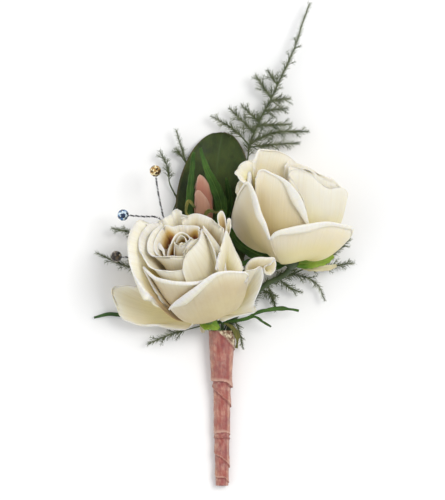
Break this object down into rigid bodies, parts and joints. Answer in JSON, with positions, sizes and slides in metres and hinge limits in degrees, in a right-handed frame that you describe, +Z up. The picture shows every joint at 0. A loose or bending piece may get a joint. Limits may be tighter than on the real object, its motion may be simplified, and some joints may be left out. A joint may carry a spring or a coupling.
{
  "type": "boutonniere",
  "caption": "Boutonniere of cream roses, one open and one half open, with a bud, leathery leaf, asparagus fern and crystal picks, its stems bound in pink satin ribbon",
  "frame": {"origin": "On the table plane under the stem line, where the flattened underside of the ribbon rests", "axes": "+X to the right, +Y from the stem ends towards the blooms, +Z up from the table"},
  "size_m": [0.0951, 0.1721, 0.04],
  "materials": {
    "cream_petal": "soft matte petal",
    "bud_petal": "soft matte petal",
    "calyx_green": "satin leaf",
    "leathery_leaf": "satin leaf",
    "fern": "matte needles",
    "wire": "drawn wire",
    "crystal_amber": "faceted, mirror backed",
    "crystal_blue": "faceted, mirror backed",
    "crystal_smoky": "faceted, mirror backed",
    "floral_tape": "waxed crepe",
    "satin_ribbon": "satin"
  },
  "bodies": {
    "root": {"rose_open_petals": "cream_petal", "rose_open_calyx": "calyx_green", "rose_half_petals": "cream_petal", "rose_half_calyx": "calyx_green", "bud_petals": "bud_petal", "bud_calyx": "calyx_green", "leaf_sprig": "leathery_leaf", "fern_tall": "fern", "fern_left": "fern", "fern_right": "fern", "wire_amber": "wire", "bead_amber": "crystal_amber", "wire_blue": "wire", "bead_blue": "crystal_blue", "wire_smoky": "wire", "bead_smoky": "crystal_smoky", "stem_bundle": "floral_tape", "ribbon_wrap": "satin_ribbon"}
  },
  "joints": []
}
